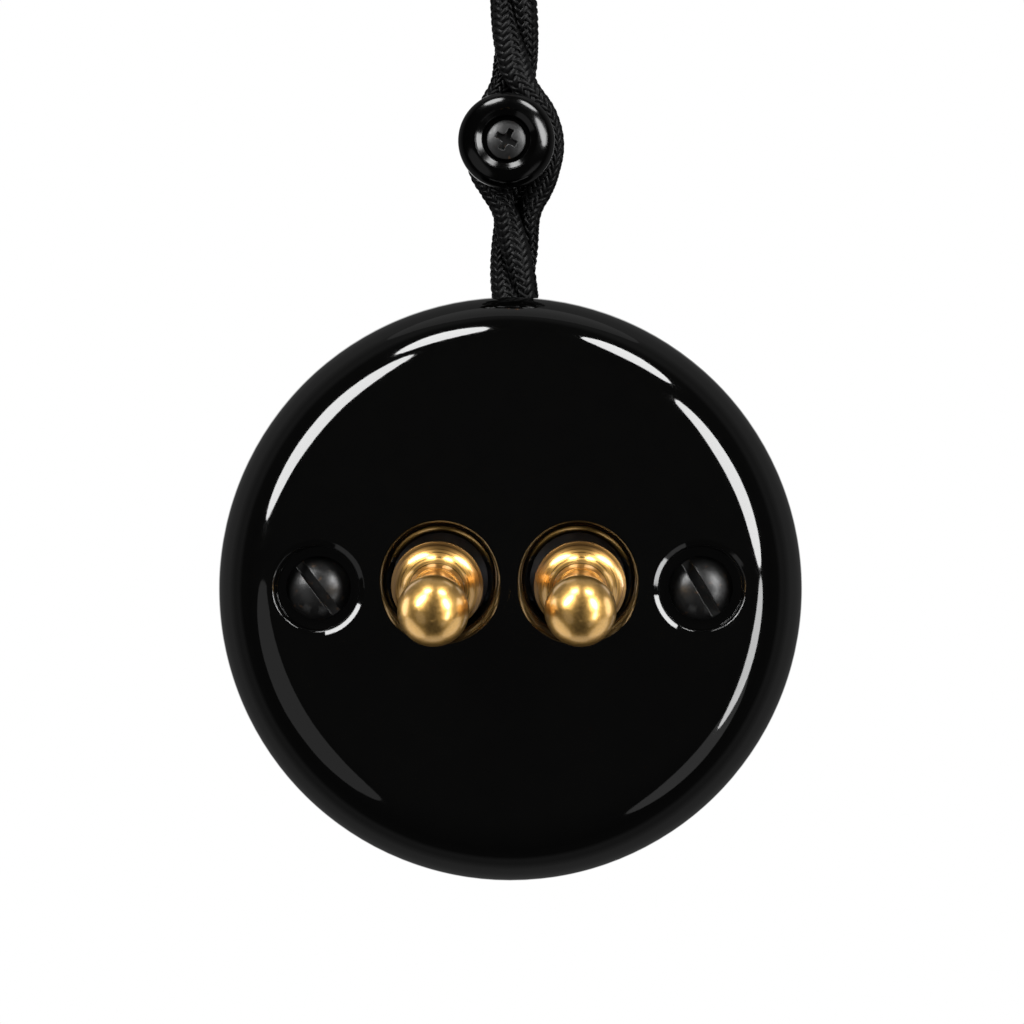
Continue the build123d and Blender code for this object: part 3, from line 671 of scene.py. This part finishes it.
# Stage: a white card behind the switch, lamps, a dim room and the camera
def make_backdrop():
    """A white card behind the switch that fades out round its edge, for reflections alone."""
    material, shader = new_material("white_backdrop")
    nodes = material.node_tree.nodes
    nodes.remove(shader)
    place = add_node(material, "ShaderNodeUVMap", uv_map="card")
    distance = vector_math(material, "LENGTH", place.outputs["UV"])["Value"]
    white = add_node(material, "ShaderNodeEmission")
    fade = remap(material, distance, (1.0, ROOM[-1][1]), (1.0, 1.0 + BACKDROP_FADE))
    link(material, fade, white.inputs["Strength"])
    link(material, white.outputs[0], nodes["Material Output"].inputs["Surface"])
    eye, aim = spot(*CAMERA_SPOT), spot(*VIEW_CENTRE)
    ahead = (aim - eye).normalized()
    away = (CAMERA_SPOT[2] + BACKDROP_BEHIND) * MM
    corner = away * PHOTO_SIZE / 2 / FOCAL_PIXELS * sqrt(2)  # from the view's middle
    side = ahead.cross(Vector((0, 0, 1))).normalized()
    rise = side.cross(ahead)
    middle = eye + ahead * away
    vertices, places = [middle], [(0.0, 0.0)]
    for ring in BACKDROP_RINGS:
        for angle in round_turns(BACKDROP_SIDES):
            x, y = ring * cos(angle), ring * sin(angle)
            vertices.append(middle + (side * x + rise * y) * corner)
            places.append((x, y))
    pairs = [(i, (i + 1) % BACKDROP_SIDES) for i in range(BACKDROP_SIDES)]
    faces = [(0, 1 + a, 1 + b) for a, b in pairs]
    for ring in range(len(BACKDROP_RINGS) - 1):
        low = 1 + ring * BACKDROP_SIDES
        high = low + BACKDROP_SIDES
        faces += [(low + a, high + a, high + b, low + b) for a, b in pairs]
    backdrop = smooth_mesh("backdrop", vertices, faces)
    layer = backdrop.data.uv_layers.new(name="card")
    for loop in backdrop.data.loops:
        layer.data[loop.index].uv = places[loop.vertex_index]
    dress(backdrop, material)
    backdrop.visible_camera = False
    backdrop.visible_shadow = False


def make_light(name, round_angle, lean, width, length, radiance):
    """A soft oval lamp that faces the switch."""
    light = bpy.data.lights.new(name, "AREA")
    light.shape = "ELLIPSE"
    light.size = length * MM
    light.size_y = width * MM
    light.energy = radiance * pi * pi / 4 * length * width * MM * MM
    obj = add_object(light.name, light)
    turn, tilt = radians(round_angle), radians(lean)
    around = Vector((cos(turn), 0, sin(turn)))
    tangent = Vector((-sin(turn), 0, cos(turn)))
    away = around * sin(tilt) + Vector((0, -1, 0)) * cos(tilt)
    facing = Matrix((tangent, away.cross(tangent), away)).transposed().to_4x4()
    obj.matrix_world = Matrix.Translation(away * LIGHT_AWAY * MM) @ facing
    obj.visible_camera = False
    return obj


def make_lights():
    """Softboxes round the switch, some flagged off the insulator, and the levers' own lamps."""
    flag = bpy.data.collections.new("flag")
    flag.objects.link(frame["nodes"]["insulator"])
    flag.collection_objects[0].light_linking.link_state = "EXCLUDE"
    for number, values in enumerate(SOFTBOXES):
        softbox = make_light(f"softbox_{number}", *values)
        if number in OFF_INSULATOR:
            softbox.light_linking.receiver_collection = flag
    levers = bpy.data.collections.new("levers")
    for side in SIDES:
        levers.objects.link(frame["nodes"]["lever_" + side])
    for number, values in enumerate(LEVER_FILLS):
        make_light(f"lever_fill_{number}", *values).light_linking.receiver_collection = levers


def make_room():
    """A dim room, which the camera sees as plain white."""
    world = bpy.data.worlds.new("dim_studio")
    world.use_nodes = True
    nodes = world.node_tree.nodes
    room = nodes["Background"]
    place = add_node(world, "ShaderNodeTexCoord")
    parts = add_node(world, "ShaderNodeSeparateXYZ")
    link(world, place.outputs["Generated"], parts.inputs[0])
    ramp = add_node(world, "ShaderNodeValToRGB")
    link(world, remap(world, parts.outputs["Y"], (0.0, 1.0), (-1.0, 1.0)), ramp.inputs["Fac"])
    stops = ramp.color_ramp.elements
    while len(stops) < len(ROOM):
        stops.new(0.5)
    for stop, (position, level) in zip(stops, ROOM):
        stop.position = position
        stop.color = (level, level, level, 1)
    link(world, ramp.outputs["Color"], room.inputs["Color"])
    white = add_node(world, "ShaderNodeBackground", Color=(1, 1, 1, 1))
    rays = add_node(world, "ShaderNodeLightPath")
    seen = add_node(world, "ShaderNodeMixShader")
    link(world, rays.outputs["Is Camera Ray"], seen.inputs["Fac"])
    link(world, room.outputs[0], seen.inputs[1])
    link(world, white.outputs[0], seen.inputs[2])
    link(world, seen.outputs[0], nodes["World Output"].inputs["Surface"])
    bpy.context.scene.world = world


def make_camera():
    camera = bpy.data.cameras.new("camera")
    camera.sensor_width = SENSOR_MM
    camera.lens = FOCAL_PIXELS * SENSOR_MM / PHOTO_SIZE
    camera.clip_start = NEAREST * MM
    obj = add_object("camera", camera)
    obj.location = spot(*CAMERA_SPOT)
    view = spot(*VIEW_CENTRE) - obj.location
    obj.rotation_euler = view.to_track_quat("-Z", "Y").to_euler()
    bpy.context.scene.camera = obj


# Finishes of the record's slots, and those of single pieces
finishes = {slot: metal(*values) for slot, values in METALS.items()}
finishes["porcelain"] = glaze("black_glaze", roughness=(0.03, 0.06), shine=0.5)
finishes["black_steel"] = satin_black()
finishes["phenolic"] = phenolic()
finishes["braid"] = braid_cloth()
own_finishes = {"insulator": glaze("soft_glaze", roughness=(0.11, 0.15), shine=0.32)}
for side in SIDES:
    pivot, axis = JOINTS["lever_" + side]["pos_m"], JOINTS["plunger_" + side]["axis"]
    own_finishes["lever_" + side] = turned_brass("turned_brass_" + side, pivot, axis)

# The pieces made here, and the finish of the CAD pieces
for core, route in ROUTES.items():
    strand, path = make_strand(core, route)
    dress(strand, finishes["braid"])
    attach(strand, "housing")
    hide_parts(core)
dress(make_wires(), finishes["copper"])
dress(make_thread(), finishes["black_steel"])
for side in SIDES:
    dress(make_coil(side), finishes["plated_steel"])
for part in frame["record"]["subparts"]:
    name = part["node"]
    dress(frame["nodes"][name], own_finishes.get(name) or finishes[part["material_slot"]])

make_backdrop()
make_lights()
make_room()
make_camera()
bpy.context.scene.view_settings.view_transform = "Standard"
